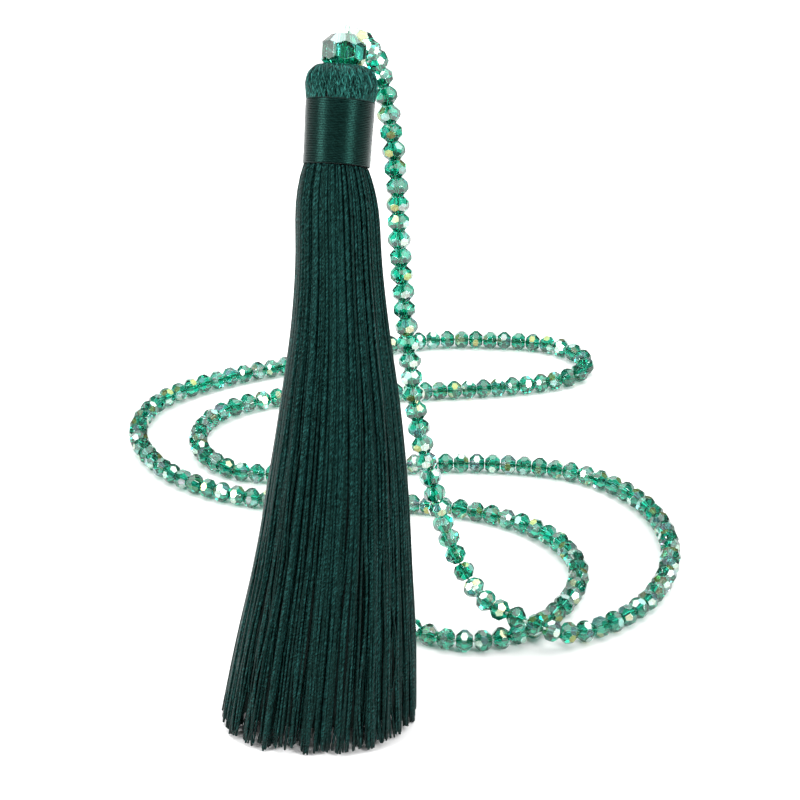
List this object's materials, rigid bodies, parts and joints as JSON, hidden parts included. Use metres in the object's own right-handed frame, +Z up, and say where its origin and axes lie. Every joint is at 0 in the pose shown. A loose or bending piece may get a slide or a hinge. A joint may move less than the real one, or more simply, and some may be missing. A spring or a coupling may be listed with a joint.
{
  "type": "tassel necklace",
  "caption": "Long necklace of small faceted glass beads on a thread, with larger beads above a long silk tassel, held up by its thread while the strand loops over the floor.",
  "frame": {"origin": "top of the bight of stringing thread between the tassel bead and the upper bead, by which the necklace is held up", "axes": "+Z up, -Y the way that the front of the tassel faces, +X to the right of someone who looks at that front"},
  "size_m": [0.1203, 0.1692, 0.124],
  "materials": {
    "fringe_silk": "fine twisted silk threads with a soft sheen, in hanging locks",
    "head_silk": "silk threads laid over the head from its top, with a strong sheen",
    "wrap_silk": "fine silk thread wound in close level turns",
    "large_glass": "cut and polished, with a rainbow coating on some facets",
    "strand_glass": "cut and polished, with a rainbow coating on half of the facets",
    "stringing_thread": "plain pale twisted thread"
  },
  "bodies": {
    "root": {"tassel_fringe": "fringe_silk", "tassel_head": "head_silk", "neck_wrap": "wrap_silk", "tassel_bead": "large_glass", "upper_bead": "large_glass", "strand_beads_a": "strand_glass", "strand_beads_b": "strand_glass", "thread": "stringing_thread"}
  },
  "joints": []
}
